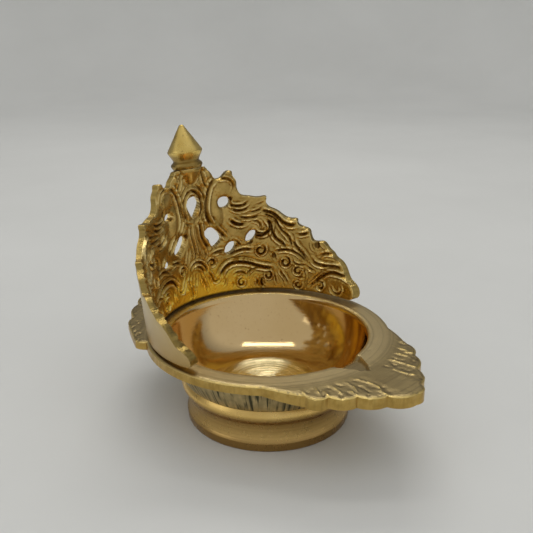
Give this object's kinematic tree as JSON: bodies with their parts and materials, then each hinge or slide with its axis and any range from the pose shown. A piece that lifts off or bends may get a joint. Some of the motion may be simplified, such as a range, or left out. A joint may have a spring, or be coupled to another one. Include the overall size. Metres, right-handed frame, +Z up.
{
  "type": "oil lamp",
  "caption": "Brass hand oil lamp: a bowl with a leaf-shaped spout flange on a turned foot, and a curved pierced back plate with birds, scrolls and a turned finial.",
  "frame": {"origin": "on the bowl's axis at the level the foot stands on, which is the middle of the whole lamp's footprint", "axes": "+Z up along the bowl's axis, -Y towards the spout leaf's tip, +Y towards the back plate and rear leaf, +X to the right seen from the spout"},
  "size_m": [0.0904, 0.1299, 0.0998],
  "materials": {
    "cup_brass": "cast brass, polished inside the bowl, satin on the flange",
    "foot_brass": "turned, satin",
    "plate_brass": "cast relief, dark in the recesses and polished on the ridges",
    "finial_brass": "turned, satin",
    "rivet_brass": "hammered"
  },
  "bodies": {
    "root": {"oil_cup": "cup_brass", "foot_ring": "foot_brass", "back_plate": "plate_brass", "finial": "finial_brass", "plate_rivet_left": "rivet_brass", "plate_rivet_centre": "rivet_brass", "plate_rivet_right": "rivet_brass"}
  },
  "joints": []
}
